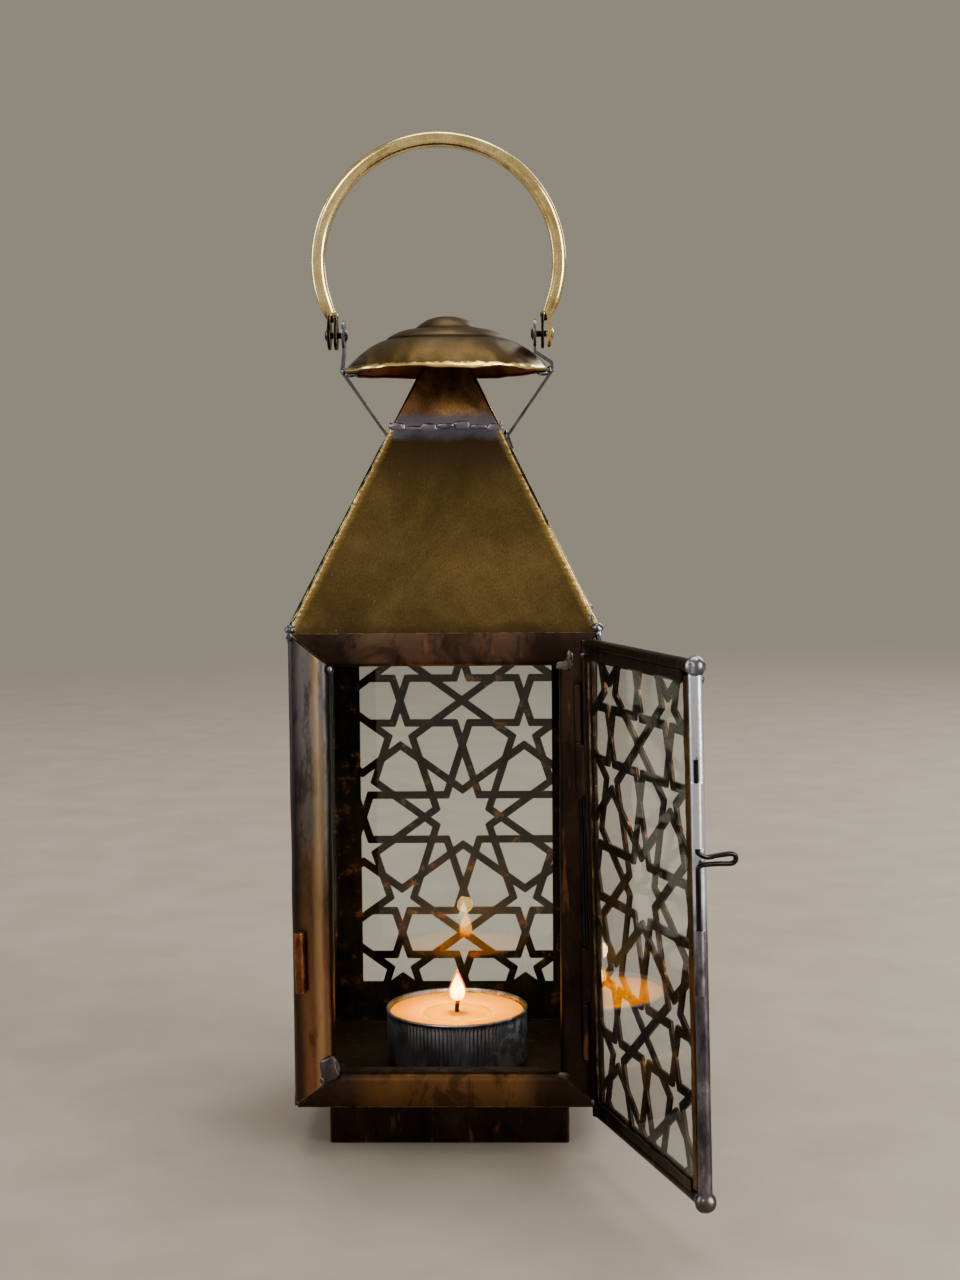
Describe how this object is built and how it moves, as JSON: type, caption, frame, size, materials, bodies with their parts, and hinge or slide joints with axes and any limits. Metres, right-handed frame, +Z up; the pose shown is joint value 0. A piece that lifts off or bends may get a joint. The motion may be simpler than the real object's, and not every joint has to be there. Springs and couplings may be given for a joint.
{
  "type": "candle lantern",
  "caption": "Square soldered-metal candle lantern with pierced strapwork walls over glass, hinged door with wire bolt, pyramid roof, vent cap and swinging handle.",
  "frame": {"origin": "centre of the foot's underside, on the surface that the lantern stands on", "axes": "+Z up, -Y out of the door, +X to the right seen from the door side"},
  "size_m": [0.1048, 0.1476, 0.2582],
  "materials": {
    "frame_patina": "dark patinated sheet metal",
    "strapwork_patina": "dark patina with copper rubs",
    "roof_patina": "antique brass, satin",
    "cap_brass": "antique brass, spun",
    "bright_brass": "polished brass",
    "copper_patina": "copper-brown",
    "solder": "dull solder",
    "clear_glass": "clear",
    "black_wire": "blackened",
    "cup_aluminium": "thin pressed foil",
    "wax": "translucent wax",
    "wick_cotton": "charred"
  },
  "bodies": {
    "lantern_body": {"foot_pan": "frame_patina", "floor_plate": "frame_patina", "post_front_left": "frame_patina", "post_front_right": "frame_patina", "post_back_left": "frame_patina", "post_back_right": "frame_patina", "rail_top_front": "frame_patina", "rail_top_back": "frame_patina", "rail_top_left": "frame_patina", "rail_top_right": "frame_patina", "rail_bottom_front": "frame_patina", "rail_bottom_back": "frame_patina", "rail_bottom_left": "frame_patina", "rail_bottom_right": "frame_patina", "glass_left": "clear_glass", "glass_right": "clear_glass", "glass_back": "clear_glass", "lattice_left": "strapwork_patina", "lattice_right": "strapwork_patina", "lattice_back": "strapwork_patina", "roof_front": "roof_patina", "roof_back": "roof_patina", "roof_left": "roof_patina", "roof_right": "roof_patina", "chimney_front": "frame_patina", "chimney_back": "frame_patina", "chimney_left": "frame_patina", "chimney_right": "frame_patina", "vent_cap": "cap_brass", "bracket_left": "frame_patina", "bracket_right": "frame_patina", "rivet_left": "bright_brass", "rivet_right": "bright_brass", "eave_solder": "solder", "hinge_knuckle_upper": "frame_patina", "hinge_knuckle_lower": "frame_patina", "hinge_wire": "black_wire", "bolt_keeper": "copper_patina"},
    "door": {"door_top_bar": "frame_patina", "door_bottom_bar": "frame_patina", "door_hinge_stile": "frame_patina", "door_free_stile": "frame_patina", "door_glass": "clear_glass", "door_lattice": "strapwork_patina", "door_knuckle_upper": "frame_patina", "door_knuckle_lower": "frame_patina", "door_ball_top": "solder", "door_ball_bottom": "solder", "bolt_sleeve_upper": "frame_patina", "bolt_sleeve_lower": "frame_patina"},
    "bolt": {"latch_bolt": "black_wire"},
    "handle": {"handle": "bright_brass"},
    "tealight": {"tealight_cup": "cup_aluminium", "candle_wax": "wax", "wick": "wick_cotton", "wick_clip": "cup_aluminium"}
  },
  "joints": [
    {"name": "door_hinge", "type": "hinge", "parent": "lantern_body", "child": "door", "pos_m": [0.034, -0.0402, 0.0715], "axis": [-0.0209, 0, 0.9998], "range_deg": [-108.5, 36.5]},
    {"name": "bolt_slide", "type": "slide", "parent": "door", "child": "bolt", "axis": [0.0209, 0, -0.9998], "range_m": [0, 0.013]},
    {"name": "handle_swing", "type": "hinge", "parent": "lantern_body", "child": "handle", "pos_m": [-0.002, 0, 0.2062], "axis": [1, 0, 0], "range_deg": [-130, 130]},
    {"name": "tealight_lift", "type": "slide", "parent": "lantern_body", "child": "tealight", "axis": [0, 0, 1], "range_m": [0, 0.06]}
  ]
}
